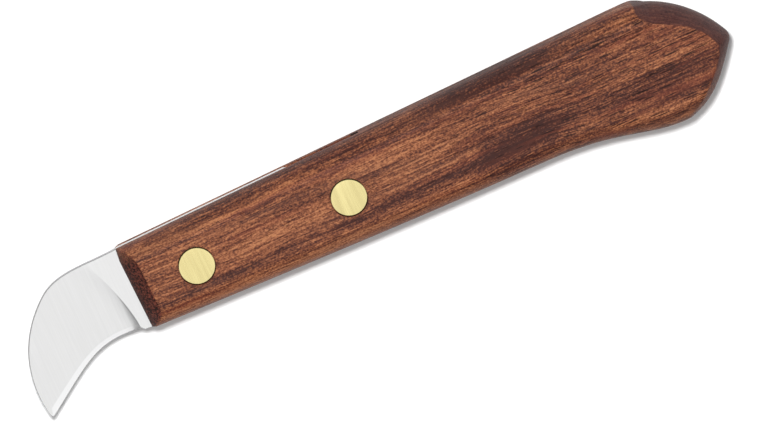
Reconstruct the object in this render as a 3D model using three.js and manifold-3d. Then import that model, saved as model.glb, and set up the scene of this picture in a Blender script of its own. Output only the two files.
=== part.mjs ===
// Hooked hand knife with a one-piece slotted handle.
// Units are millimetres. The knife lies on its side: +X runs from the blade to the butt,
// +Y points to the spine, +Z is up through the thickness of the handle.
// While it is being built, x = 0 is the front end of the handle, y = 0 is the line
// through both rivets, and z = 0 is the middle of the blade's thickness.

import * as THREE from 'three';
import { mergeVertices } from 'three/addons/utils/BufferGeometryUtils.js';
import Module from 'manifold-3d';

const wasm = await Module();
wasm.setup();

// ---------------------------------------------------------------- driving dimensions

// Handle
const HANDLE_THICKNESS = 15;
const BUTT_END = 126.6; // length of the handle
const EDGE_ROUND_WIDTH = 4; // rounding of the long edges, across the faces
const EDGE_ROUND_DEPTH = 5.8; // and down the sides
const END_FACETS = [ // sloping facets round both ends, from the faces down
  { width: 3.1, drop: 3.3 },
  { width: 1.9, drop: 6.2 },
];
const KERF_WIDTH = 1.9; // saw cut that takes the tang
const KERF_END = 52.3;

// Blade and tang
const STOCK = 1.6; // thickness of the sheet steel
const TANG_END = 51;
const APEX_WIDTH = 0.06; // flat left on the cutting edge
const BEVEL_WIDTH = 1.3; // sharpening bevel, measured across the blade
const SHOULDER_THICKNESS = 0.34; // steel left above the sharpening bevel
const GRIND_SLOPE = 0.078; // thickness gained per millimetre away from the bevel

// Cutler's rivets
const RIVET_X = [12.9, 45.5];
const HEAD_RADIUS = 3.57; // 9/32 in head
const HEAD_HEIGHT = 1.6;
const HEAD_CHAMFER = 0.12;
const HEAD_RING_GAP = 0.24; // dark ring between head and wood
const TUBE_RADIUS = 2.2;
const TUBE_BORE = 1.5;
const PIN_RADIUS = 1.42;
const SHANK_CLEARANCE = 0.15;
const SEAT_CLEARANCE = 0.03;

const HALF = HANDLE_THICKNESS / 2;
const CURVE_STEPS = 12; // straight steps in each curve of the handle's outline

// ---------------------------------------------------------------- materials

const walnut = new THREE.MeshStandardMaterial({ color: 0x8f5c3b, roughness: 0.55, metalness: 0 });
const steel = new THREE.MeshStandardMaterial({ color: 0xd9d9d7, roughness: 0.35, metalness: 1 });
const brass = new THREE.MeshStandardMaterial({ color: 0xe3cf86, roughness: 0.3, metalness: 1 });

// ---------------------------------------------------------------- solids

// Welds the corners of a geometry, drops triangles that have no area, and makes a solid
// that can be cut and joined.
function toSolid(geometry) {
  const bare = geometry.clone();
  bare.deleteAttribute('normal');
  bare.deleteAttribute('uv');
  const merged = mergeVertices(bare, 1e-4);
  const corners = merged.index.array;
  const kept = [];
  for (let i = 0; i < corners.length; i += 3) {
    const [a, b, c] = corners.slice(i, i + 3);
    if (a !== b && b !== c && c !== a) {
      kept.push(a, b, c);
    }
  }
  const mesh = new wasm.Mesh({
    numProp: 3,
    vertProperties: new Float32Array(merged.attributes.position.array),
    triVerts: new Uint32Array(kept),
  });
  return new wasm.Manifold(mesh);
}

function toGeometry(solid) {
  const result = solid.getMesh();
  const geometry = new THREE.BufferGeometry();
  geometry.setAttribute('position', new THREE.BufferAttribute(result.vertProperties, 3));
  geometry.setIndex(new THREE.BufferAttribute(result.triVerts, 1));
  geometry.computeVertexNormals();
  return geometry;
}

function namedMesh(name, geometry, material) {
  const mesh = new THREE.Mesh(geometry, material);
  mesh.name = name;
  return mesh;
}

// A round post along Z between two heights.
function post(radius, bottom, top, x) {
  const geometry = new THREE.CylinderGeometry(radius, radius, top - bottom, 48);
  geometry.rotateX(Math.PI / 2);
  geometry.translate(x, 0, (top + bottom) / 2);
  return geometry;
}

// ---------------------------------------------------------------- handle

// The same outline as straight steps, without points that coincide where two curves meet.
function stepped(shape) {
  const points = shape.getPoints(CURVE_STEPS);
  const apart = points.filter((point, i) => {
    const next = points[(i + 1) % points.length];
    return point.distanceTo(next) > 1e-3;
  });
  return new THREE.Shape(apart);
}

// The long sides: a gently widening grip that swells into a belly at the butt.
// The front runs on past the handle, where the end outline trims it. The straight end at
// the butt only blunts the point.
function sideOutline() {
  const shape = new THREE.Shape();
  shape.moveTo(-12, 8.4);
  shape.lineTo(-12, -8.3);
  shape.lineTo(0, -8.55);
  shape.bezierCurveTo(30, -9.4, 58, -10.35, 84, -10.35);
  shape.bezierCurveTo(99, -10.5, 104, -14.3, 112, -14.3);
  shape.quadraticCurveTo(115, -14.3, 118, -12.9);
  shape.lineTo(BUTT_END, -8.5);
  shape.lineTo(BUTT_END, 9.4);
  shape.lineTo(114, 11.25);
  shape.quadraticCurveTo(110, 11.4, 106, 11.25);
  shape.bezierCurveTo(72, 10.4, 36, 9.5, 0, 8.65);
  shape.closePath();
  return shape;
}

// The two ends: a nearly square front, and a butt that slopes from the back to a blunt
// point and rounds under into the belly. The long sides run on past the grip.
function endOutline() {
  const shape = new THREE.Shape();
  shape.moveTo(-1.14, 17);
  shape.lineTo(0.36, -19);
  shape.lineTo(106, -19);
  shape.bezierCurveTo(112, -15.3, 118.6, -13, 123.3, -7);
  shape.lineTo(BUTT_END + 0.6, -2.4);
  shape.lineTo(124.4, 1.9);
  shape.bezierCurveTo(120.6, 7.5, 114, 10.8, 104, 12.3);
  shape.lineTo(92, 17);
  shape.closePath();
  return shape;
}

// An outline as thick as the handle, with its edges taken off `width` in from the outline
// and `depth` down from the faces. One step gives a facet, more steps give a rounding.
function slab(outline, width, depth, steps) {
  const geometry = new THREE.ExtrudeGeometry(stepped(outline), {
    depth: HANDLE_THICKNESS - 2 * depth,
    bevelThickness: depth,
    bevelSize: width,
    bevelOffset: -width,
    bevelSegments: steps,
  });
  geometry.translate(0, 0, depth - HALF);
  return toSolid(geometry);
}

function handleGeometry() {
  let solid = slab(sideOutline(), EDGE_ROUND_WIDTH, EDGE_ROUND_DEPTH, 7);
  for (const facet of END_FACETS) {
    solid = solid.intersect(slab(endOutline(), facet.width, facet.drop, 1));
  }

  const kerf = new THREE.BoxGeometry(KERF_END + 10, 60, KERF_WIDTH);
  kerf.translate((KERF_END - 10) / 2, 0, 0);
  solid = solid.subtract(toSolid(kerf));

  const seat = HALF - HEAD_HEIGHT - SEAT_CLEARANCE;
  for (const x of RIVET_X) {
    const shankHole = post(TUBE_RADIUS + SHANK_CLEARANCE, -HALF - 1, HALF + 1, x);
    const upperSeat = post(HEAD_RADIUS + HEAD_RING_GAP, seat, HALF + 1, x);
    const lowerSeat = post(HEAD_RADIUS + HEAD_RING_GAP, -HALF - 1, -seat, x);
    for (const cutter of [shankHole, upperSeat, lowerSeat]) {
      solid = solid.subtract(toSolid(cutter));
    }
  }
  return toGeometry(solid);
}

// ---------------------------------------------------------------- blade

const at = (x, y) => new THREE.Vector2(x, y);

function line(start, end) {
  return new THREE.LineCurve(start, end);
}

function bend(start, control1, control2, end) {
  return new THREE.CubicBezierCurve(start, control1, control2, end);
}

function chain(...curves) {
  const path = new THREE.CurvePath();
  curves.forEach((curve) => path.add(curve));
  return path;
}

// The blade and tang from back to front, each piece with its back, its lower side and how
// many steps it takes. `ground` is how much of the flat grind it has at its two ends, and
// `bow` is how far the lines across it curve towards the handle.
const BLADE_PIECES = [
  { // tail of the tang, hidden in the kerf
    spine: line(at(TANG_END, 5.4), at(36, 9.5)),
    edge: line(at(TANG_END, -5.4), at(36, -9.56)),
    steps: 2, ground: [0, 0], bow: [0, 0],
  },
  { // tang, flush with the wood above and below
    spine: line(at(36, 9.5), at(0, 8.62)),
    edge: line(at(36, -9.56), at(0, -8.52)),
    steps: 4, ground: [0, 0], bow: [0, 0],
  },
  { // ricasso
    spine: bend(at(0, 8.62), at(-0.9, 8.42), at(-3.4, 8.36), at(-5.6, 8.35)),
    edge: bend(at(0, -8.52), at(-0.3, -8.4), at(-0.9, -8.38), at(-1.3, -8.38)),
    steps: 4, ground: [0, 0], bow: [0, 0.7],
  },
  { // step up to the heel of the edge
    spine: line(at(-5.6, 8.35), at(-7.2, 8.33)),
    edge: line(at(-1.3, -8.38), at(-2.05, -7.77)),
    steps: 1, ground: [0, 0], bow: [0.7, 0.8],
  },
  { // plunge, where the grind sinks into the flat of the steel
    spine: bend(at(-7.2, 8.33), at(-8.2, 8.31), at(-9.2, 8.27), at(-10.1, 8.2)),
    edge: bend(at(-2.05, -7.77), at(-3.1, -7.73), at(-4.2, -7.68), at(-5.3, -7.65)),
    steps: 6, ground: [0, 1], bow: [0.8, 0.8],
  },
  { // ground blade, hooking down to the tip
    spine: chain(
      bend(at(-10.1, 8.2), at(-13.2, 7.95), at(-15.49, 7.21), at(-17.21, 5.85)),
      bend(at(-17.21, 5.85), at(-25.85, -0.97), at(-26.85, -10.1), at(-25.3, -16.62)),
    ),
    edge: bend(at(-5.3, -7.65), at(-12.4, -7.5), at(-15.6, -10.7), at(-24.85, -16.9)),
    steps: 28, ground: [1, 1], bow: [0.8, 0],
  },
];

// Every line across the blade, from the end of the tang to the tip.
function bladeStations() {
  const stations = [];
  BLADE_PIECES.forEach((piece, index) => {
    const last = index === BLADE_PIECES.length - 1;
    for (let i = 0; i < piece.steps + (last ? 1 : 0); i++) {
      const t = i / piece.steps;
      stations.push({
        spine: piece.spine.getPointAt(t),
        edge: piece.edge.getPointAt(t),
        ground: THREE.MathUtils.lerp(piece.ground[0], piece.ground[1], t),
        bow: THREE.MathUtils.lerp(piece.bow[0], piece.bow[1], t),
        reach: last ? t : 0,
      });
    }
  });
  return stations;
}

// Thickness of the steel on one line across the blade. `across` is 0 at the back and 1 at
// the edge; the sharpening bevel starts at `shoulder`. The grind keeps one slope, so the
// back gets thinner where the blade is narrow.
function thickness(station, across, shoulder, width) {
  const thin = SHOULDER_THICKNESS * (1 - 0.4 * station.reach);
  const back = Math.min(STOCK, thin + GRIND_SLOPE * shoulder * width);
  let flat = THREE.MathUtils.lerp(back, thin, Math.min(across / shoulder, 1));
  if (across > shoulder) {
    flat = THREE.MathUtils.lerp(thin, APEX_WIDTH, (across - shoulder) / (1 - shoulder));
  }
  const sink = 1 - (1 - station.ground) ** 2;
  return THREE.MathUtils.lerp(STOCK, flat, sink);
}

// A box of unit size, divided along the blade and across it, takes the shape of the blade.
function bladeGeometry() {
  const stations = bladeStations();
  const along = stations.length - 1;
  const flatRows = 5; // from the back to the top of the sharpening bevel
  const rows = flatRows + 1;
  const geometry = new THREE.BoxGeometry(1, 1, 1, along, rows, 1);
  const position = geometry.attributes.position;
  for (let i = 0; i < position.count; i++) {
    const station = stations[Math.round((position.getX(i) + 0.5) * along)];
    const row = Math.round((0.5 - position.getY(i)) * rows);
    const width = station.spine.distanceTo(station.edge);
    const shoulder = 1 - Math.min(BEVEL_WIDTH / width, 0.5);
    const across = row <= flatRows ? (shoulder * row) / flatRows : 1;
    const point = station.spine.clone().lerp(station.edge, across);
    point.x += station.bow * 4 * across * (1 - across);
    const side = Math.sign(position.getZ(i));
    const thick = thickness(station, across, shoulder, width);
    position.setXYZ(i, point.x, point.y, (side * thick) / 2);
  }
  // The stations run from the tang towards -X, so the box is turned inside out.
  const index = geometry.index;
  for (let i = 0; i < index.count; i += 3) {
    const second = index.getX(i + 1);
    index.setX(i + 1, index.getX(i + 2));
    index.setX(i + 2, second);
  }
  let solid = toSolid(geometry);
  for (const x of RIVET_X) {
    solid = solid.subtract(toSolid(post(TUBE_RADIUS + SHANK_CLEARANCE, -STOCK, STOCK, x)));
  }
  return toGeometry(solid);
}

// ---------------------------------------------------------------- rivets

// Turns a closed outline of [radius, height] points about the Z axis.
function turned(outline) {
  const points = outline.map(([radius, height]) => new THREE.Vector2(radius, height));
  const geometry = new THREE.LatheGeometry(points, 48);
  geometry.rotateX(Math.PI / 2);
  return toGeometry(toSolid(geometry));
}

// The half with the head on the upper face and a hollow shank.
function socketGeometry() {
  const under = HALF - HEAD_HEIGHT;
  const mouth = -under + 0.6;
  const floor = under - 0.5;
  return turned([
    [0, floor],
    [TUBE_BORE, floor],
    [TUBE_BORE, mouth],
    [TUBE_RADIUS, mouth],
    [TUBE_RADIUS, under],
    [HEAD_RADIUS, under],
    [HEAD_RADIUS, HALF - HEAD_CHAMFER],
    [HEAD_RADIUS - HEAD_CHAMFER, HALF],
    [0, HALF],
  ]);
}

// The half with the head on the lower face and a solid pin that fills the hollow shank.
function pinGeometry() {
  const under = HALF - HEAD_HEIGHT;
  const nose = under - 1;
  return turned([
    [0, -HALF],
    [HEAD_RADIUS - HEAD_CHAMFER, -HALF],
    [HEAD_RADIUS, -HALF + HEAD_CHAMFER],
    [HEAD_RADIUS, -under],
    [PIN_RADIUS, -under],
    [PIN_RADIUS, nose - 0.3],
    [PIN_RADIUS - 0.3, nose],
    [0, nose],
  ]);
}

// ---------------------------------------------------------------- assembly

const knife = new THREE.Group();
knife.add(namedMesh('blade', bladeGeometry(), steel));
knife.add(namedMesh('handle', handleGeometry(), walnut));
['front', 'rear'].forEach((place, i) => {
  const socket = namedMesh(`${place}_rivet_socket`, socketGeometry(), brass);
  const pin = namedMesh(`${place}_rivet_pin`, pinGeometry(), brass);
  socket.position.x = RIVET_X[i];
  pin.position.x = RIVET_X[i];
  knife.add(socket, pin);
});

// The origin is the middle of the knife's footprint, on the surface that it lies on.
const box = new THREE.Box3().setFromObject(knife);
const middle = box.getCenter(new THREE.Vector3());
knife.position.set(-middle.x, -middle.y, -box.min.z);

const part = new THREE.Group();
part.add(knife);

export default part;
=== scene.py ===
"""Hooked hand knife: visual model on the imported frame.

Shapes are worked out in millimetres in the knife's own axes: x = 0 is the front end of the
handle, y = 0 is the line through both rivets, z = 0 is the middle of the blade's thickness.
"""
import math
import bmesh
import bpy
import numpy as np
from mathutils import Matrix, Vector


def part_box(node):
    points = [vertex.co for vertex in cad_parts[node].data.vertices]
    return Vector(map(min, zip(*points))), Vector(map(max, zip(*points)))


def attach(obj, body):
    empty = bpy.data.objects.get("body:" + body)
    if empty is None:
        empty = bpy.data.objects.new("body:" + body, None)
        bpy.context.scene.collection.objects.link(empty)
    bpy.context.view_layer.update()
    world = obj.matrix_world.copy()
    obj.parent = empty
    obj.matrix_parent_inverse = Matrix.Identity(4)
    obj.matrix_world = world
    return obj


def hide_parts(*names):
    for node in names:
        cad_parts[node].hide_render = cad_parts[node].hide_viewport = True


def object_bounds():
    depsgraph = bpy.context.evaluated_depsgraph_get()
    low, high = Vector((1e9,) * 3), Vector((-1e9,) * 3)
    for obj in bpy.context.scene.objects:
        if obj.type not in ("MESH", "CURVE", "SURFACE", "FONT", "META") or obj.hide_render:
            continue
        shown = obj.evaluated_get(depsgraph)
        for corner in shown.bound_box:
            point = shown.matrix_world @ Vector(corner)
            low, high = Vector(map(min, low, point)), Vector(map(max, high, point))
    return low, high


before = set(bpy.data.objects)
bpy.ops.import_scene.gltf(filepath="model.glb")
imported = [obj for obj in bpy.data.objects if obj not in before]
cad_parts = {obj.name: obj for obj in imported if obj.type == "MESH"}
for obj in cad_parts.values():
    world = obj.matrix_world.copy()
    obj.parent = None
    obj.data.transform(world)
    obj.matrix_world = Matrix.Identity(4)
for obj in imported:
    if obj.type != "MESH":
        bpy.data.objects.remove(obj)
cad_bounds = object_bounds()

MM = 0.001

# ---------------------------------------------------------------- sizes, in millimetres

HALF = 7.5  # half the thickness of the handle
STOCK = 1.6  # thickness of the steel
KERF_HALF = 0.95  # half the width of the saw slot
KERF_END = 52.3
TANG_END = 51.0
FRONT_RIVET_X = 12.9
REAR_RIVET_X = 45.5
HEAD_RADIUS = 3.57
HEAD_HEIGHT = 1.6
RING_GAP = 0.24  # dark ring between a rivet's head and the wood
SHANK_HOLE = 2.35
TUBE_RADIUS = 2.2
TUBE_BORE = 1.5
PIN_RADIUS = 1.42

SIDE_ROUND_WIDTH = 4.0  # rounding of the long edges, across the face
SIDE_ROUND_DEPTH = 5.8  # and down the side
FRONT_CURVE_RADIUS = 10.6  # the front end bulges on this radius from face to face
BUTT_CURVE_Y = [-5, -2.2, 0, 2.5, 5.2, 8]  # the butt is sanded flatter towards its lower side
BUTT_CURVE_RADIUS = [15.0, 11.6, 12.6, 12.5, 10.2, 10.0]
BUTT_FACET_START = 113.9  # the butt's facet runs out before it reaches the long back
BUTT_FACET_FADE = 0.4  # how fast it narrows towards that end, per mm
BUTT_FACET_FADE_LENGTH = 7
MIDDLE_X = 60  # splits the front half of the handle from the butt half
CREASE = 0.16  # softness of the edges between faces and facets
RIM_HEIGHT = 0.12  # the handle's outline keeps this much height, so the halves don't touch
SEAT_CLEARANCE = 0.03  # between a rivet's head and the bottom of its counterbore

# The knife's own axes in the row frame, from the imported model.
rivet_low, rivet_high = (Vector(c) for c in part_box("front_rivet_socket"))
handle_low, handle_high = (Vector(c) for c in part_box("handle"))
ORIGIN = Vector((
    (rivet_low.x + rivet_high.x) / 2 - FRONT_RIVET_X * MM,
    (rivet_low.y + rivet_high.y) / 2,
    (handle_low.z + handle_high.z) / 2,
))


def place(x, y, z):
    """A point of the knife's own axes in millimetres, as metres in the row frame."""
    return ORIGIN + Vector((x, y, z)) * MM


# ---------------------------------------------------------------- curves


def bezier(points, steps, last=False):
    """Points along a cubic curve, without its end point unless `last` is set."""
    p0, p1, p2, p3 = (np.array(p, float) for p in points)
    t = np.linspace(0, 1, steps + 1)[:, None]
    curve = (1 - t) ** 3 * p0 + 3 * (1 - t) ** 2 * t * p1 + 3 * (1 - t) * t**2 * p2 + t**3 * p3
    return curve if last else curve[:-1]


def straight(start, end, steps, last=False):
    """Points along a straight line, without its end point unless `last` is set."""
    t = np.linspace(0, 1, steps + 1)[:, None]
    line = np.array(start, float) * (1 - t) + np.array(end, float) * t
    return line if last else line[:-1]


def even(curve, count):
    """The same curve as `count` points at equal distances."""
    steps = np.linalg.norm(np.diff(curve, axis=0), axis=1)
    along = np.concatenate([[0], np.cumsum(steps)])
    wanted = np.linspace(0, along[-1], count)
    return np.stack([np.interp(wanted, along, curve[:, i]) for i in range(2)], axis=1)


def polyline_distance(points, line):
    """Distance from each point to a line of straight steps."""
    best = np.full(len(points), 1e9)
    for a, b in zip(line[:-1], line[1:]):
        d = b - a
        t = np.clip(((points - a) @ d) / (d @ d), 0, 1)
        gap = points - (a + t[:, None] * d)
        best = np.minimum(best, np.hypot(gap[:, 0], gap[:, 1]))
    return best


# ---------------------------------------------------------------- mesh helpers


def mesh_object(name, vertices, faces):
    """A new object from points in the knife's own axes, in millimetres."""
    mesh = bpy.data.meshes.new(name)
    mesh.from_pydata([tuple(place(*v)) for v in vertices], [], faces)
    mesh.validate()
    obj = bpy.data.objects.new(name, mesh)
    bpy.context.scene.collection.objects.link(obj)
    return obj


def outward(obj):
    """Turns every face of a closed mesh outwards."""
    bm = bmesh.new()
    bm.from_mesh(obj.data)
    bmesh.ops.recalc_face_normals(bm, faces=bm.faces)
    bm.to_mesh(obj.data)
    bm.free()


def smooth(obj, angle):
    """Smooth shading, with edges sharper than `angle` degrees kept crisp."""
    obj.data.shade_smooth()
    obj.data.set_sharp_from_angle(angle=math.radians(angle))


def cut(obj, cutter):
    """Takes the cutter out of the object for good, and removes the cutter."""
    modifier = obj.modifiers.new("cut", "BOOLEAN")
    modifier.operation = "DIFFERENCE"
    modifier.solver = "EXACT"
    modifier.object = cutter
    bpy.context.view_layer.update()
    evaluated = obj.evaluated_get(bpy.context.evaluated_depsgraph_get())
    result = bpy.data.meshes.new_from_object(evaluated)
    obj.modifiers.clear()
    obj.data = result
    bpy.data.objects.remove(cutter)


def turned(name, profile, segments, x=0.0):
    """Turns an outline of (radius, height) points, which starts and ends on the axis."""
    vertices = []
    rings = []
    for radius, height in profile:
        if radius == 0:
            rings.append([len(vertices)])
            vertices.append((x, 0, height))
            continue
        rings.append(list(range(len(vertices), len(vertices) + segments)))
        for i in range(segments):
            a = 2 * math.pi * i / segments
            vertices.append((x + radius * math.cos(a), radius * math.sin(a), height))
    faces = []
    for lower, upper in zip(rings[:-1], rings[1:]):
        for i in range(segments):
            j = (i + 1) % segments
            if len(lower) == 1:
                faces.append((lower[0], upper[j], upper[i]))
            elif len(upper) == 1:
                faces.append((lower[i], lower[j], upper[0]))
            else:
                faces.append((lower[i], lower[j], upper[j], upper[i]))
    obj = mesh_object(name, vertices, faces)
    outward(obj)
    return obj


# ---------------------------------------------------------------- handle

TOP_LINE = [(0, 8.65), (36, 9.5), (72, 10.4), (106, 11.25)]
BOTTOM_LINE = [(0, -8.55), (30, -9.4), (58, -10.35), (84, -10.35)]
BELLY = [(84, -10.35), (99, -10.45), (104, -14.3), (112, -14.3)]
UNDER_BUTT = [(112, -14.3), (117.2, -14.3), (121.8, -9.4), (125.9, -3.9)]
BUTT_POINT = [(125.9, -3.9), (126.75, -2.75), (126.75, -2.2), (126.1, -1.1)]
BUTT_SLOPE = [(126.1, -1.1), (123.4, 4.2), (117.6, 9.7), (110.4, 11.05)]
TOP_SHOULDER = [(110.4, 11.05), (109.3, 11.27), (108, 11.3), (106, 11.25)]
FRONT_TOP = (-0.40, 8.64)
FRONT_EASE = (-0.66, 6.0)  # above this the front's corner is sanded back
FRONT_BOTTOM = (-0.07, -8.54)


def handle_silhouette():
    """The handle's outline, anticlockwise from the front's top corner."""
    front = np.concatenate([
        straight(FRONT_TOP, FRONT_EASE, 12),
        straight(FRONT_EASE, FRONT_BOTTOM, 48),
    ])
    bottom = even(np.concatenate([
        [np.array(FRONT_BOTTOM)],
        bezier(BOTTOM_LINE, 60)[1:],
        bezier(BELLY, 60, last=True),
    ]), 150)[:-1]
    butt = even(np.concatenate([
        bezier(UNDER_BUTT, 60),
        bezier(BUTT_POINT, 20),
        bezier(BUTT_SLOPE, 60),
        bezier(TOP_SHOULDER, 12, last=True),
    ]), 190)[:-1]
    top = even(np.concatenate([
        bezier(TOP_LINE, 80, last=True)[::-1],
        [np.array(FRONT_TOP)],
    ]), 136)[:-1]
    return np.concatenate([front, bottom, butt, top])


def side_lines():
    """The two long sides, run on past both ends."""
    top = np.concatenate([
        [np.array((-14, 8.3))],
        bezier(TOP_LINE, 40),
        straight((106, 11.25), (140, 11.6), 4, last=True),
    ])
    bottom = np.concatenate([
        [np.array((-14, -8.15))],
        bezier(BOTTOM_LINE, 30),
        bezier(BELLY, 30),
        bezier([(112, -14.3), (116, -14.3), (121, -12.5), (130, -9)], 12, last=True),
    ])
    return top, bottom


def end_lines():
    """The front, and the butt from above the shoulder round to under the belly."""
    slope = (FRONT_BOTTOM[0] - FRONT_EASE[0]) / (FRONT_BOTTOM[1] - FRONT_EASE[1])
    front = np.array([
        (FRONT_TOP[0] + 1.2, FRONT_TOP[1] + 12), FRONT_TOP, FRONT_EASE,
        (FRONT_BOTTOM[0] - slope * 12, FRONT_BOTTOM[1] - 12)])
    butt = np.concatenate([
        straight((104.5, -17.6), (115.2, -13.75), 6),
        bezier([(115.2, -13.75), (119.6, -12.2), (122.8, -8.1), (125.9, -3.9)], 40),
        bezier(BUTT_POINT, 12),
        bezier([(126.1, -1.1), (123.4, 4.2), (118.5, 9.2), (111.6, 10.9)], 40),
        straight((111.6, 10.9), (99, 17.0), 4, last=True),
    ])
    return front, butt


def soft_min(a, b, softness):
    """The smaller of two heights, with the crease between them rounded off."""
    h = np.clip(0.5 + 0.5 * (b - a) / softness, 0, 1)
    return b * (1 - h) + a * h - softness * h * (1 - h)


def handle_height(points):
    """Height of the upper face above the middle of the handle at points of the plan, and
    how much darker tone each point takes: the end grain's own, and painted shade."""
    top, bottom = side_lines()
    front, butt = end_lines()
    side = np.minimum(polyline_distance(points, top), polyline_distance(points, bottom))
    at_front = points[:, 0] < MIDDLE_X
    fade = np.clip(BUTT_FACET_START - points[:, 0], 0, BUTT_FACET_FADE_LENGTH) * BUTT_FACET_FADE
    butt_distance = polyline_distance(points, butt) + np.where(points[:, 1] > 0, fade, 0)
    end = np.where(at_front, polyline_distance(points, front), butt_distance)

    # A quarter ellipse along the sides.
    ratio = 1 - np.clip(side / SIDE_ROUND_WIDTH, 0, 1)
    side_height = HALF - SIDE_ROUND_DEPTH * (1 - np.sqrt(1 - ratio**2))
    # A flatter arc round the ends, which meets the faces at a crisp edge.
    butt_radius = np.interp(points[:, 1], BUTT_CURVE_Y, BUTT_CURVE_RADIUS)
    radius = np.where(at_front, FRONT_CURVE_RADIUS, butt_radius)
    reach = radius - np.clip(end, 0, radius)
    end_height = np.sqrt(radius**2 - reach**2)

    on_end = np.clip(0.5 + (np.minimum(side_height, HALF) - end_height) / CREASE, 0, 1)
    # Painted shade: the end facets' dark tone follows how the light falls, fading at the front's
    # top and on the butt's lower facet.
    front_tone = np.interp(points[:, 1], [5.0, 7.6], [1.0, 0.5])
    butt_tone = np.interp(points[:, 1], [-12, -9, -6, -1], [0.15, 0.35, 0.7, 0.92])
    grain = on_end * np.where(at_front, front_tone, butt_tone)

    height = soft_min(side_height, end_height, CREASE)
    height = soft_min(height, np.full(len(points), HALF), CREASE)
    return np.maximum(height, RIM_HEIGHT), grain


def build_handle():
    outline = handle_silhouette()
    # Every point of the outline runs in towards the middle line of the handle.
    inner = np.stack([np.clip(outline[:, 0], 9, 114), np.zeros(len(outline))], axis=1)
    inner[:, 1] = np.interp(inner[:, 0], [9, 84, 105, 114], [0, 0, -1, -2.2])
    direction = inner - outline
    direction /= np.linalg.norm(direction, axis=1)[:, None]
    # Rings lie closest together where the rounding of the edge is steepest.
    insets = np.concatenate([
        [0, 0.01, 0.03, 0.07, 0.13, 0.21, 0.31, 0.43, 0.57, 0.73, 0.91],
        [1.1, 1.32, 1.56, 1.82, 2.1, 2.38],
        np.arange(2.6, 4.2, 0.13),
        [4.5, 4.9, 5.4, 6.0],
    ])
    count = len(outline)
    vertices = []
    end_grain_and_shade = []
    for sign, order in ((1, insets[::-1]), (-1, insets)):
        for inset in order:
            plan = outline + direction * inset
            height, grain = handle_height(plan)
            vertices += [(p[0], p[1], sign * h) for p, h in zip(plan, height)]
            end_grain_and_shade += list(grain)
    rings = 2 * len(insets)
    faces = []
    for ring in range(rings - 1):
        for i in range(count):
            j = (i + 1) % count
            a, b = ring * count, (ring + 1) * count
            faces.append((a + i, b + i, b + j, a + j))
    faces.append(tuple(range(count)))
    faces.append(tuple((rings - 1) * count + i for i in reversed(range(count))))
    handle = mesh_object("handle_wood", vertices, faces)
    tone = handle.data.attributes.new("end_grain_and_shade", "FLOAT", "POINT")
    tone.data.foreach_set("value", end_grain_and_shade)
    outward(handle)

    # The saw slot.
    kerf_box = [
        (x, y, z)
        for x in (-9, KERF_END)
        for y in (-20, 20)
        for z in (-KERF_HALF, KERF_HALF)
    ]
    kerf = mesh_object("kerf", kerf_box, [
        (0, 1, 3, 2), (4, 6, 7, 5), (0, 4, 5, 1), (2, 3, 7, 6), (0, 2, 6, 4), (1, 5, 7, 3)])
    outward(kerf)
    cut(handle, kerf)

    # A stepped hole for each rivet.
    seat = HALF - HEAD_HEIGHT - SEAT_CLEARANCE
    head = HEAD_RADIUS + RING_GAP
    for x in (FRONT_RIVET_X, REAR_RIVET_X):
        hole = turned("hole", [
            (0, -HALF - 1), (head, -HALF - 1), (head, -seat), (SHANK_HOLE, -seat),
            (SHANK_HOLE, seat), (head, seat), (head, HALF + 1), (0, HALF + 1)], 96, x)
        cut(handle, hole)
    smooth(handle, 35)
    return handle


# ---------------------------------------------------------------- blade

APEX_WIDTH = 0.05
SHOULDER_THICKNESS = 0.34
GRIND_SLOPE = 0.078  # thickness gained per millimetre away from the sharpening bevel
SPINE_EASE = 0.11  # the back's corners are broken, more so towards the tip
TANG_SHADE = 0.3  # the tang's edges are sanded flush, and take this share of the dark colour as painted shade
PLUNGE_SHADE = 0.15  # how much painted shade darkens the grind's shoulder at the plunge
PLUNGE_STEP = 0.07  # part of the plunge's length taken by its steep step
PLUNGE_STEP_SHARE = 0.2  # part of its depth at the heel; none at the back

# The blade and tang from back to front. Each piece has its back, its lower side, how many
# steps it takes, how much of the flat grind it has at its two ends, and how far the lines
# across it bow towards the handle.
BLADE_PIECES = [
    dict(spine=[(51, 5.4), (46, 6.8), (41, 8.4), (36, 9.5)],
         edge=[(51, -5.4), (46, -6.8), (41, -8.4), (36, -9.56)],
         steps=14, ground=(0, 0), bow=(0, 0)),
    dict(spine=[(36, 9.5), (24, 9.22), (12, 8.93), (0, 8.63)],
         edge=[(36, -9.56), (24, -9.24), (12, -8.9), (0, -8.53)],
         steps=30, ground=(0, 0), bow=(0, 0)),
    dict(spine=[(0, 8.63), (-0.9, 8.42), (-3.4, 8.36), (-5.6, 8.35)],
         edge=[(0, -8.53), (-0.3, -8.4), (-0.9, -8.38), (-1.3, -8.38)],
         steps=10, ground=(0, 0), bow=(0, 0.7)),
    dict(spine=[(-5.6, 8.35), (-6.1, 8.35), (-6.7, 8.34), (-7.2, 8.33)],
         edge=[(-1.3, -8.38), (-1.7, -8.36), (-1.8, -7.87), (-2.05, -7.77)],
         steps=6, ground=(0, 0), bow=(0.7, 0.8)),
    dict(spine=[(-7.2, 8.33), (-8.2, 8.31), (-9.2, 8.27), (-10.1, 8.2)],
         edge=[(-2.05, -7.77), (-3.1, -7.73), (-4.2, -7.68), (-5.3, -7.65)],
         steps=44, ground=(0, 1), bow=(0.8, 0.8)),
    dict(spine=None,
         edge=[(-5.3, -7.65), (-12.4, -7.5), (-15.6, -10.7), (-24.85, -16.9)],
         steps=110, ground=(1, 1), bow=(0.8, 0)),
]
HOOK_SPINE = [
    [(-10.1, 8.2), (-13.2, 7.95), (-15.49, 7.21), (-17.21, 5.85)],
    [(-17.21, 5.85), (-25.85, -0.97), (-26.85, -10.1), (-25.3, -16.62)],
]


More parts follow.
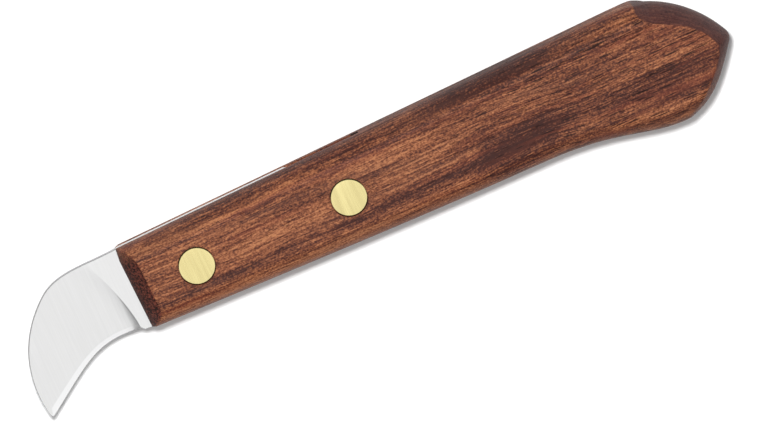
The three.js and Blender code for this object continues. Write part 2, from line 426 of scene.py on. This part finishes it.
def blade_stations():
    stations = []
    for index, piece in enumerate(BLADE_PIECES):
        last = index == len(BLADE_PIECES) - 1
        if piece["spine"] is None:
            back = np.concatenate([
                bezier(HOOK_SPINE[0], 60),
                bezier(HOOK_SPINE[1], 120, last=True),
            ])
        else:
            back = bezier(piece["spine"], 60, last=True)
        front = bezier(piece["edge"], 120, last=True)
        count = piece["steps"] + 1
        back, front = even(back, count), even(front, count)
        for i in range(count if last else count - 1):
            t = i / (count - 1)
            stations.append(dict(
                spine=back[i], edge=front[i], reach=t if last else 0,
                ground=piece["ground"][0] * (1 - t) + piece["ground"][1] * t,
                bow=piece["bow"][0] * (1 - t) + piece["bow"][1] * t))
    return stations


def plunge(along, across):
    """How far the grind has sunk in: a short step, steepest at the heel, then a sweep."""
    share = PLUNGE_STEP_SHARE * across**3.2
    step = max(1 - along / PLUNGE_STEP, 0) ** 2
    return 1 - share * step - (1 - share) * (1 - along) ** 1.8


def bevel_width(reach):
    """The sharpening bevel widens towards the tip."""
    return 0.95 + 0.4 * reach


def blade_section(station):
    """Points across one station, from the back to the edge: x, y, half thickness, and how much
    of the sharpening's painted highlight and of the back's dark finish with painted shade it has."""
    spine, edge = station["spine"], station["edge"]
    width = np.linalg.norm(edge - spine)
    shoulder = width - min(bevel_width(station["reach"]), width * 0.5)
    thin = SHOULDER_THICKNESS * (1 - 0.4 * station["reach"])
    back = min(STOCK, thin + GRIND_SLOPE * shoulder)
    ease = min(SPINE_EASE * (1 + 0.8 * station["reach"]), width * 0.1, back * 0.3)
    offsets = [0, ease, ease + 0.02, ease + 0.05]
    offsets += list(ease + (shoulder - ease) * np.linspace(0, 1, 26)[1:-1])
    offsets += [shoulder - 0.02 * width, shoulder, shoulder + 0.012 * width]
    offsets += list(shoulder + (width - shoulder) * np.array([0.3, 0.6, 0.85, 1]))
    section = []
    for offset in sorted(offsets):
        across = offset / width
        if offset <= shoulder:
            flat = back + (thin - back) * offset / shoulder
        else:
            flat = thin + (APEX_WIDTH - thin) * (offset - shoulder) / (width - shoulder)
        sink = plunge(station["ground"], min(across, 1))
        thick = STOCK + (flat - STOCK) * sink
        half = thick / 2
        half -= max(ease - offset, 0)
        point = spine + (edge - spine) * across
        x = point[0] + station["bow"] * 4 * across * (1 - across)
        # Painted highlight: the sharpening bevel takes a brighter colour.
        sharpened_highlight = sink * min(max((offset - shoulder) / 0.05, 0), 1)
        # Painted shade: the back's cut edge takes a dark, unpolished colour, partly its real
        # finish and partly shade; the tang's edges take less.
        sheared_and_shaded = min(max(2 - 1.6 * offset / ease, 0), 1) * (1 if x < 0 else TANG_SHADE)
        # Painted shade along the plunge, darkest towards the heel.
        if 0 < station["ground"] < 1:
            shoulder_shade = (1 - station["ground"]) ** 2 * min(max(2.2 * across, 0), 1)
            sheared_and_shaded = max(sheared_and_shaded, PLUNGE_SHADE * shoulder_shade)
        section.append((x, point[1], half, sharpened_highlight, sheared_and_shaded))
    return section


def build_blade():
    sections = [blade_section(s) for s in blade_stations()]
    rows = len(sections[0])
    vertices = []
    finishes = []
    for section in sections:
        for sign, side in ((1, section), (-1, section[::-1])):
            vertices += [(x, y, sign * half) for x, y, half, _, _ in side]
            finishes += [finish for _, _, _, *finish in side]
    ring = 2 * rows
    faces = []
    for s in range(len(sections) - 1):
        for i in range(ring):
            j = (i + 1) % ring
            a, b = s * ring, (s + 1) * ring
            faces.append((a + i, b + i, b + j, a + j))
    faces.append(tuple(range(ring)))
    faces.append(tuple((len(sections) - 1) * ring + i for i in reversed(range(ring))))
    blade = mesh_object("blade_steel", vertices, faces)
    for name, values in zip(("sharpened_highlight", "sheared_and_shaded"), zip(*finishes)):
        blade.data.attributes.new(name, "FLOAT", "POINT").data.foreach_set("value", values)
    outward(blade)
    for x in (FRONT_RIVET_X, REAR_RIVET_X):
        hole = turned("hole", [
            (0, -STOCK), (SHANK_HOLE, -STOCK), (SHANK_HOLE, STOCK), (0, STOCK)], 64, x)
        cut(blade, hole)
    smooth(blade, 28)
    return blade


# ---------------------------------------------------------------- rivets

HEAD_RIM = 0.05  # chamfer round the head
HEAD_CROWN = 0.014  # how much lower the head is at its rim than in its middle


def head_profile(sign):
    """The head from its face down to its underside: a hair of crown and a broken rim."""
    points = [
        (0, HALF),
        (HEAD_RADIUS * 0.5, HALF - 0.002),
        (HEAD_RADIUS - 0.45, HALF - 0.008),
        (HEAD_RADIUS - HEAD_RIM - 0.03, HALF - 0.013),
        (HEAD_RADIUS - HEAD_RIM, HALF - HEAD_CROWN),
        (HEAD_RADIUS, HALF - HEAD_CROWN - HEAD_RIM),
        (HEAD_RADIUS, HALF - HEAD_HEIGHT),
    ]
    return [(radius, sign * height) for radius, height in points]


def build_socket(name, x):
    """The upper half of a rivet: a head with a hollow shank."""
    under = HALF - HEAD_HEIGHT
    profile = head_profile(1) + [
        (TUBE_RADIUS, under), (TUBE_RADIUS, -under + 0.7), (TUBE_RADIUS - 0.1, -under + 0.6),
        (TUBE_BORE, -under + 0.6), (TUBE_BORE, under - 0.5), (0, under - 0.5)]
    obj = turned(name, profile, 128, x)
    smooth(obj, 40)
    return obj


def build_pin(name, x):
    """The lower half of a rivet: a head with the solid pin that fills the hollow shank."""
    under = HALF - HEAD_HEIGHT
    profile = head_profile(-1) + [
        (PIN_RADIUS, -under), (PIN_RADIUS, under - 1.3),
        (PIN_RADIUS - 0.3, under - 1), (0, under - 1)]
    obj = turned(name, profile, 128, x)
    smooth(obj, 40)
    return obj


# ---------------------------------------------------------------- node helpers


class Graph:
    """Short names for building one material's nodes."""

    def __init__(self, name):
        self.material = bpy.data.materials.new(name)
        self.material.use_nodes = True
        self.tree = self.material.node_tree
        self.tree.nodes.clear()
        self.shader = self.node("ShaderNodeBsdfPrincipled")
        output = self.node("ShaderNodeOutputMaterial")
        self.link(self.shader.outputs["BSDF"], output.inputs["Surface"])

    def node(self, kind, **settings):
        node = self.tree.nodes.new(kind)
        for key, value in settings.items():
            setattr(node, key, value)
        return node

    def link(self, source, target):
        self.tree.links.new(source, target)

    def feed(self, socket, value):
        if isinstance(value, bpy.types.NodeSocket):
            self.link(value, socket)
        else:
            socket.default_value = value

    def math(self, operation, a, b=0.0, c=0.0, clamp=False):
        node = self.node("ShaderNodeMath", operation=operation, use_clamp=clamp)
        for socket, value in zip(node.inputs, (a, b, c)):
            self.feed(socket, value)
        return node.outputs[0]

    def vector(self, operation, a, b=(0, 0, 0)):
        node = self.node("ShaderNodeVectorMath", operation=operation)
        self.feed(node.inputs[0], a)
        self.feed(node.inputs[1], b)
        return node.outputs["Value" if operation in ("LENGTH", "DOT_PRODUCT") else "Vector"]

    def noise(self, position, scale, detail=3.0, roughness=0.5, distortion=0.0):
        """Noise from 0 to 1; `scale` is per millimetre along each axis."""
        node = self.node("ShaderNodeTexNoise", noise_dimensions="3D")
        self.link(self.vector("MULTIPLY", position, scale), node.inputs["Vector"])
        node.inputs["Scale"].default_value = 1.0
        node.inputs["Detail"].default_value = detail
        node.inputs["Roughness"].default_value = roughness
        node.inputs["Distortion"].default_value = distortion
        return node.outputs["Fac"]

    def cells(self, position, scale, randomness=1.0):
        """Distance to the nearest of many scattered points."""
        node = self.node("ShaderNodeTexVoronoi", voronoi_dimensions="3D", feature="F1")
        self.link(self.vector("MULTIPLY", position, scale), node.inputs["Vector"])
        node.inputs["Scale"].default_value = 1.0
        node.inputs["Randomness"].default_value = randomness
        return node.outputs["Distance"]

    def band(self, value, low, high, out_low=0.0, out_high=1.0, smooth=True):
        """Maps low..high to out_low..out_high, held at both ends."""
        node = self.node("ShaderNodeMapRange", clamp=True)
        node.interpolation_type = "SMOOTHSTEP" if smooth else "LINEAR"
        for socket, v in zip(node.inputs, (value, low, high, out_low, out_high)):
            self.feed(socket, v)
        return node.outputs[0]

    def ramp(self, value, stops):
        node = self.node("ShaderNodeValToRGB")
        node.color_ramp.interpolation = "EASE"
        elements = node.color_ramp.elements
        while len(elements) < len(stops):
            elements.new(0.5)
        for element, (position, color) in zip(elements, stops):
            element.position = position
            element.color = (*color, 1)
        self.link(value, node.inputs["Fac"])
        return node.outputs["Color"]

    def mix(self, fac, a, b, blend="MIX"):
        node = self.node("ShaderNodeMix", data_type="RGBA", blend_type=blend, clamp_factor=True)
        for socket, value in zip((node.inputs[0], node.inputs[6], node.inputs[7]), (fac, a, b)):
            if isinstance(value, tuple) and len(value) == 3:
                value = (*value, 1)
            self.feed(socket, value)
        return node.outputs[2]

    def bump(self, height, strength, distance, normal=None):
        node = self.node("ShaderNodeBump")
        node.inputs["Strength"].default_value = strength
        node.inputs["Distance"].default_value = distance
        self.feed(node.inputs["Height"], height)
        if normal is not None:
            self.link(normal, node.inputs["Normal"])
        return node.outputs["Normal"]

    def attribute(self, name):
        return self.node("ShaderNodeAttribute", attribute_name=name).outputs["Fac"]

    def split(self, vector):
        node = self.node("ShaderNodeSeparateXYZ")
        self.link(vector, node.inputs[0])
        return node.outputs["X"], node.outputs["Y"], node.outputs["Z"]

    def combine(self, x=0.0, y=0.0, z=0.0):
        node = self.node("ShaderNodeCombineXYZ")
        for socket, value in zip(node.inputs, (x, y, z)):
            self.feed(socket, value)
        return node.outputs[0]

    def patch(self, position, x, y, length, width, tilt):
        """1 at the middle of a soft oval on the face, 0 outside it."""
        local = self.vector("SUBTRACT", position, (x, y, 0))
        across = self.vector("DOT_PRODUCT", local, (-tilt / width, 1 / width, 0))
        along = self.vector("DOT_PRODUCT", local, (1 / length, 0, 0))
        square = self.math("MULTIPLY", across, across)
        square = self.math("MULTIPLY_ADD", along, along, square)
        return self.band(square, 0.0, 2.2, 1.0, 0.0)

    def knife_position(self):
        """Position in millimetres in the knife's own axes."""
        object_position = self.node("ShaderNodeTexCoord").outputs["Object"]
        moved = self.vector("SUBTRACT", object_position, tuple(ORIGIN))
        return self.vector("MULTIPLY", moved, (1000, 1000, 1000))


def srgb(red, green, blue):
    """A display colour of 0 to 255 as a linear one."""
    def linear(c):
        c /= 255
        return c / 12.92 if c <= 0.04045 else ((c + 0.055) / 1.055) ** 2.4
    return tuple(linear(c) for c in (red, green, blue))


# ---------------------------------------------------------------- walnut

# Soft patches of darker and lighter heartwood: centre along and across the handle, half
# length, half width, tilt (mm of rise per mm along), and how much darker (-) or lighter (+).
FIGURE = [
    (26, 8.0, 22, 0.8, 0.022, -1.00),
    (79, 9.2, 12, 1.25, 0.020, -1.30),
    (26, 5.6, 20, 0.38, 0.000, -0.42),
    (55, 7.2, 14, 1.3, 0.010, -0.75),
    (55, 4.0, 12, 1.6, -0.010, 0.55),
    (30, 0.0, 14, 1.5, 0.000, 0.60),
    (20, 7.0, 22, 1.0, 0.012, 0.60),
    (30, -4.5, 40, 0.8, 0.006, -0.70),
    (68, -4.1, 20, 1.4, 0.000, -0.95),
    (81, -4.6, 9, 4.2, 0.120, -1.25),
    (73, 0.6, 7, 1.5, 0.180, -0.65),
    (92, -2.0, 9, 1.4, -0.100, -0.55),
    (78, 6.8, 14, 1.0, 0.020, -0.35),
    (92, 4.2, 12, 1.1, 0.030, -0.05),
    (112, -4.0, 13, 2.2, 0.000, -0.85),
    (110, -9.6, 9, 1.5, -0.060, 0.45),
    (118, -0.6, 8, 1.5, 0.000, 0.12),
    (96, 0.4, 10, 1.4, 0.000, -0.28),
    (27, -7.5, 23, 1.0, -0.010, 0.95),
    (114, -8.0, 6, 1.5, 0.000, -0.35),
    (60, 1.4, 9, 1.0, 0.000, 0.45),
    (30, 4.0, 7, 1.1, 0.000, 0.30),
    (86, 5.2, 8, 1.0, 0.000, 0.35),
    (23, -2.6, 9, 0.8, 0.000, 0.45),
    (64, 3.4, 9, 0.8, 0.000, 0.30),
    (13, 3.0, 10, 1.6, 0.000, 0.55),
    (106, -1.0, 28, 12.0, 0.000, -0.24),
    (92, 7.6, 16, 1.6, 0.020, -0.40),
    (79, -1.4, 5, 1.0, 0.100, -0.40),
    (110, -7.6, 10, 1.6, -0.050, -0.50),
]


# Where the grain rises over a hidden knot: centre, half length, half width, and how far.
ARCH = (81, -2.0, 10, 6.5)
ARCH_RISE = 0.9


def walnut():
    """Oiled walnut, with darker end grain deepened by painted shade, and painted shade in the saw
    slot.
    """
    g = Graph("oiled_walnut")
    raw = g.knife_position()
    # The grain leans a little through the thickness, so the two faces differ.
    depth = g.math("SUBTRACT", g.split(raw)[2], HALF)
    lean = g.combine(y=g.math("MULTIPLY", depth, 0.28))
    position = g.vector("ADD", raw, lean)

    # Slow waves bend every streak.
    wave = g.noise(position, (0.02, 0.08, 0.08), 3.0, 0.55)
    ripple = g.noise(position, (0.07, 0.35, 0.35), 2.0, 0.5)
    wander = g.math("MULTIPLY", g.math("SUBTRACT", wave, 0.5), 2.8)
    wander = g.math("MULTIPLY_ADD", g.math("SUBTRACT", ripple, 0.5), 0.45, wander)
    figure_position = g.vector("ADD", position, g.combine(y=g.math("MULTIPLY", wander, 0.7)))
    arch = g.patch(position, *ARCH, 0.0)
    wander = g.math("MULTIPLY_ADD", arch, -ARCH_RISE, wander)
    grain = g.vector("ADD", position, g.combine(y=wander))

    # Heartwood figure: patches, broad bands, narrow bands, fibres and a fine grit.
    tone = 0.0
    for *shape, amount in FIGURE:
        tone = g.math("MULTIPLY_ADD", g.patch(figure_position, *shape), 0.26 * amount, tone)
    broad = g.noise(grain, (0.010, 0.33, 0.33), 2.0, 0.5)
    narrow = g.noise(grain, (0.014, 1.3, 0.8), 4.0, 0.6)
    fibres = g.noise(grain, (0.05, 3.0, 1.5), 3.0, 0.6)
    hairs = g.noise(grain, (0.3, 4.4, 2.2), 1.0, 0.6)
    grit = g.noise(grain, (2.4, 3.4, 2.2), 1.0, 0.6)
    rings = g.noise(grain, (0.014, 0.75, 0.75), 2.0, 0.45)
    for noise, amount in (
        (broad, 0.45), (narrow, 0.60), (fibres, 1.05), (hairs, 0.95), (grit, 1.3),
    ):
        tone = g.math("MULTIPLY_ADD", g.math("SUBTRACT", noise, 0.5), amount, tone)
    # A few thin dark ring lines follow the grain.
    line = g.band(g.math("ABSOLUTE", g.math("SUBTRACT", rings, 0.5)), 0.0, 0.02, 1.0, 0.0)
    line = g.math("MULTIPLY", line, g.band(narrow, 0.35, 0.6))
    tone = g.math("MULTIPLY_ADD", line, -0.16, tone)
    tone = g.math("ADD", tone, 0.5, clamp=True)
    color = g.ramp(tone, [
        (0.08, srgb(56, 30, 26)),
        (0.30, srgb(86, 48, 37)),
        (0.50, srgb(115, 68, 46)),
        (0.70, srgb(142, 88, 60)),
        (0.92, srgb(167, 110, 74)),
    ])
    # Patches lean redder or greyer than their neighbours.
    hue = g.noise(grain, (0.03, 0.4, 0.4), 2.0, 0.5)
    color = g.mix(g.band(hue, 0.5, 0.72, 0.0, 0.3), color, srgb(122, 60, 42))
    color = g.mix(g.band(hue, 0.3, 0.48, 0.3, 0.0), color, srgb(84, 56, 48))

    # Open pores: short dark dashes along the grain.
    dashes = g.cells(grain, (0.22, 3.3, 3.3))
    where = g.noise(position, (0.05, 0.35, 0.35), 2.0, 0.5)
    more = g.band(g.split(position)[0], 50, 100, 0.0, 0.1)
    limit = g.math("ADD", g.band(where, 0.35, 0.68, 0.12, 0.26), more)
    pore = g.band(g.math("SUBTRACT", limit, dashes), 0.0, 0.1)
    fine = g.cells(grain, (0.7, 9.0, 9.0))
    fine_pore = g.band(g.math("SUBTRACT", 0.3, fine), 0.0, 0.14)
    vessels = g.cells(grain, (0.17, 2.1, 2.1))
    crowd = g.noise(position, (0.04, 0.3, 0.3), 2.0, 0.5)
    few = g.band(g.split(position)[0], 55, 100, 0.11, 0.24)
    reach = g.math("ADD", g.band(crowd, 0.4, 0.66, 0.0, 0.1), few)
    vessel = g.band(g.math("SUBTRACT", reach, vessels), 0.0, 0.08)
    color = g.mix(g.math("MULTIPLY", vessel, 0.85), color, srgb(30, 16, 14))
    color = g.mix(g.math("MULTIPLY", pore, 0.5), color, srgb(38, 22, 19))
    color = g.mix(g.math("MULTIPLY", fine_pore, 0.35), color, srgb(48, 28, 22))

    # End grain drinks more oil and shows darker, deepened by painted shade on the end facets,
    # and is speckled with the ends of pores.
    end = g.attribute("end_grain_and_shade")
    speckle = g.cells(raw, (2.2, 2.6, 2.6))
    mottle = g.noise(raw, (2.2, 2.4, 1.4), 3.0, 0.8)
    front_color = g.ramp(mottle, [(0.40, srgb(14, 8, 8)), (0.64, srgb(112, 58, 46))])
    front_color = g.mix(g.band(speckle, 0.12, 0.3, 0.6, 0.0), front_color, srgb(14, 9, 9))
    sanding = g.noise(raw, (0.25, 0.25, 5.0), 3.0, 0.65)
    butt_tone = g.math("ADD", g.math("MULTIPLY", mottle, 0.4), g.math("MULTIPLY", sanding, 0.6))
    butt_color = g.ramp(butt_tone, [
        (0.36, srgb(44, 25, 26)),
        (0.50, srgb(72, 43, 41)),
        (0.64, srgb(98, 60, 50)),
    ])
    at_butt = g.band(g.split(raw)[0], 50, 60)
    end_color = g.mix(at_butt, front_color, butt_color)
    # The end colours carry painted shade as well as the end grain's own darker tone.
    color = g.mix(end, color, end_color)
    # Painted shade darkens the walls of the saw slot, from the tang's end back to the slot's end.
    x, _, z = g.split(raw)
    slot_shade = g.band(g.math("ABSOLUTE", z), KERF_HALF + 0.01, KERF_HALF + 0.03, 1.0, 0.0)
    slot_shade = g.math("MULTIPLY", slot_shade, g.band(x, KERF_END, KERF_END + 0.1, 1.0, 0.0))
    slot_shade = g.math("MULTIPLY", slot_shade, g.band(x, TANG_END - 0.6, TANG_END, 0.0, 0.95))
    color = g.mix(slot_shade, color, srgb(20, 14, 12))
    g.feed(g.shader.inputs["Base Color"], color)

    roughness = g.band(fibres, 0.3, 0.7, 0.62, 0.5)
    roughness = g.math("MULTIPLY_ADD", pore, 0.2, roughness, clamp=True)
    g.feed(g.shader.inputs["Roughness"], roughness)
    g.shader.inputs["Specular IOR Level"].default_value = 0.12
    g.shader.inputs["IOR"].default_value = 1.45

    height = g.math("MULTIPLY", fibres, 0.5)
    height = g.math("MULTIPLY_ADD", narrow, 0.25, height)
    height = g.math("MULTIPLY_ADD", grit, 0.25, height)
    height = g.math("MULTIPLY_ADD", pore, -0.8, height)
    height = g.math("MULTIPLY_ADD", fine_pore, -0.35, height)
    g.link(g.bump(height, 0.6, 0.08 * MM), g.shader.inputs["Normal"])
    return g.material


# ---------------------------------------------------------------- metals

MIRRORED = 0.68  # share of the light that brushed metal mirrors


def brushed(name, base, streak, roughness, lines, depth, edge_highlight=None, dull_and_shade=None):
    """Metal with fine straight brush lines along Y. `lines` is how many per millimetre.
    The optional edge colour is a painted highlight for a sharpening bevel, and the optional
    dark colour an unpolished finish with painted shade for the back, the tang's edges and the
    plunge.
    The lines are too fine to model one by one, so part of the light is scattered widely."""
    g = Graph(name)
    position = g.knife_position()
    coarse = g.noise(position, (lines * 0.35, 0.05, 0.6), 3.0, 0.6)
    fine = g.noise(position, (lines, 0.09, 1.2), 4.0, 0.7)
    cloud = g.noise(position, (0.22, 0.16, 0.2), 3.0, 0.5)
    tone = g.math("ADD", g.math("MULTIPLY", coarse, 0.45), g.math("MULTIPLY", fine, 0.55))
    color = g.mix(g.band(tone, 0.32, 0.68), streak, base)
    color = g.mix(g.band(cloud, 0.3, 0.75, 0.0, 0.25), color, streak)
    g.shader.inputs["Metallic"].default_value = MIRRORED
    if edge_highlight:
        sheared_and_shaded = g.attribute("sheared_and_shaded")
        # Painted highlight on the sharpening bevel.
        color = g.mix(g.attribute("sharpened_highlight"), color, edge_highlight)
        # Painted shade: a dark colour with less metal on the back, the tang's edges and the
        # plunge.
        color = g.mix(sheared_and_shaded, color, dull_and_shade)
        g.feed(g.shader.inputs["Metallic"], g.math("MULTIPLY_ADD", sheared_and_shaded, -MIRRORED, MIRRORED))
    g.feed(g.shader.inputs["Base Color"], color)
    rough = g.band(fine, 0.25, 0.75, roughness + 0.06, roughness - 0.05)
    g.feed(g.shader.inputs["Roughness"], rough)
    height = g.math("ADD", g.math("MULTIPLY", fine, 0.7), g.math("MULTIPLY", coarse, 0.3))
    g.link(g.bump(height, 0.5, depth * MM), g.shader.inputs["Normal"])
    return g.material


# ---------------------------------------------------------------- build

# The steel's edge colour is a painted highlight, and its dark colour is painted shade on an
# unpolished finish.
steel = brushed("satin_steel", (0.607, 0.607, 0.604), (0.557, 0.557, 0.554), 0.18, 7.0, 0.004,
                edge_highlight=(0.68, 0.68, 0.68), dull_and_shade=(0.15, 0.15, 0.153))
brass = brushed("brushed_brass", (0.63, 0.55, 0.258), (0.45, 0.378, 0.168), 0.25, 3.5, 0.008)
wood = walnut()

for obj, node, slot, material in (
    (build_handle(), "handle", "walnut", wood),
    (build_blade(), "blade", "steel", steel),
    (build_socket("front_rivet_head_and_tube", FRONT_RIVET_X),
     "front_rivet_socket", "brass", brass),
    (build_pin("front_rivet_head_and_pin", FRONT_RIVET_X), "front_rivet_pin", "brass", brass),
    (build_socket("rear_rivet_head_and_tube", REAR_RIVET_X), "rear_rivet_socket", "brass", brass),
    (build_pin("rear_rivet_head_and_pin", REAR_RIVET_X), "rear_rivet_pin", "brass", brass),
):
    obj.data.materials.clear()
    obj.data.materials.append(material)
    for polygon in obj.data.polygons:
        polygon.material_index = 0
    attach(obj, "root")
    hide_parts(node)

# ---------------------------------------------------------------- floor, light, camera

FLOOR_SIZE = 8.0
FLOOR_GAP = 0.0002  # keeps the floor from touching the handle's lower face
s = FLOOR_SIZE / 2
floor_z = cad_bounds[0][2] - FLOOR_GAP
floor_mesh = bpy.data.meshes.new("floor")
floor_mesh.from_pydata(
    [(x, y, floor_z) for x, y in ((-s, -s), (s, -s), (s, s), (-s, s))], [], [(0, 1, 2, 3)])
floor = bpy.data.objects.new("floor", floor_mesh)
bpy.context.scene.collection.objects.link(floor)
paper = Graph("white_paper")
paper.feed(paper.shader.inputs["Base Color"], (0.93, 0.93, 0.93, 1))
paper.shader.inputs["Roughness"].default_value = 0.9
paper.shader.inputs["Specular IOR Level"].default_value = 0.0
floor.data.materials.append(paper.material)


def softbox(name, centre, size, power, aim):
    """A square lamp, with its side in metres and its power in watts."""
    light = bpy.data.lights.new(name, "AREA")
    light.shape = "SQUARE"
    light.size = size
    light.energy = power
    obj = bpy.data.objects.new(name, light)
    obj.location = centre
    obj.rotation_euler = (Vector(aim) - Vector(centre)).to_track_quat("-Z", "Y").to_euler()
    bpy.context.scene.collection.objects.link(obj)
    return obj


# A wide softbox, set back so that the flat steel mirrors its middle, and a smaller lamp
# from the knife's upper right that draws the short shadow under its lower edges.
softbox("overhead_softbox", (0.0, -0.25, 1.2), 1.3, 6.4, (0.0, -0.25, 0.0))
softbox("key_lamp", (-0.02, 0.435, 1.5), 0.16, 26.5, (0, 0, 0))

world = bpy.data.worlds.new("studio")
bpy.context.scene.world = world
world.use_nodes = True
world.node_tree.nodes["Background"].inputs["Color"].default_value = (0.97, 0.985, 1.0, 1)
world.node_tree.nodes["Background"].inputs["Strength"].default_value = 0.08

bpy.context.scene.view_settings.view_transform = "Standard"

# The camera looks down on the knife, tipped a little towards its back, and is turned so
# that the knife climbs to the right.
CAMERA_TIP = math.radians(10)
CAMERA_TURN = math.radians(24.2)
CAMERA_DISTANCE = 4.0
VIEW_WIDTH = 148.67 * MM  # width of the picture in the plane of the handle's upper face
SENSOR = 36.0
AIM = place(49.84, -5.2, HALF)

back = Vector((0, math.sin(CAMERA_TIP), math.cos(CAMERA_TIP)))
along = Vector((1, 0, 0))
across = back.cross(along)
right = math.cos(CAMERA_TURN) * along - math.sin(CAMERA_TURN) * across
up = math.sin(CAMERA_TURN) * along + math.cos(CAMERA_TURN) * across
turn = Matrix((right, up, back)).transposed()
camera_data = bpy.data.cameras.new("camera")
camera_data.sensor_width = SENSOR
camera_data.lens = SENSOR * CAMERA_DISTANCE / VIEW_WIDTH
camera_data.clip_start = 0.01
camera_data.clip_end = 20
camera = bpy.data.objects.new("camera", camera_data)
camera.matrix_world = Matrix.Translation(AIM + back * CAMERA_DISTANCE) @ turn.to_4x4()
bpy.context.scene.collection.objects.link(camera)
bpy.context.scene.camera = camera
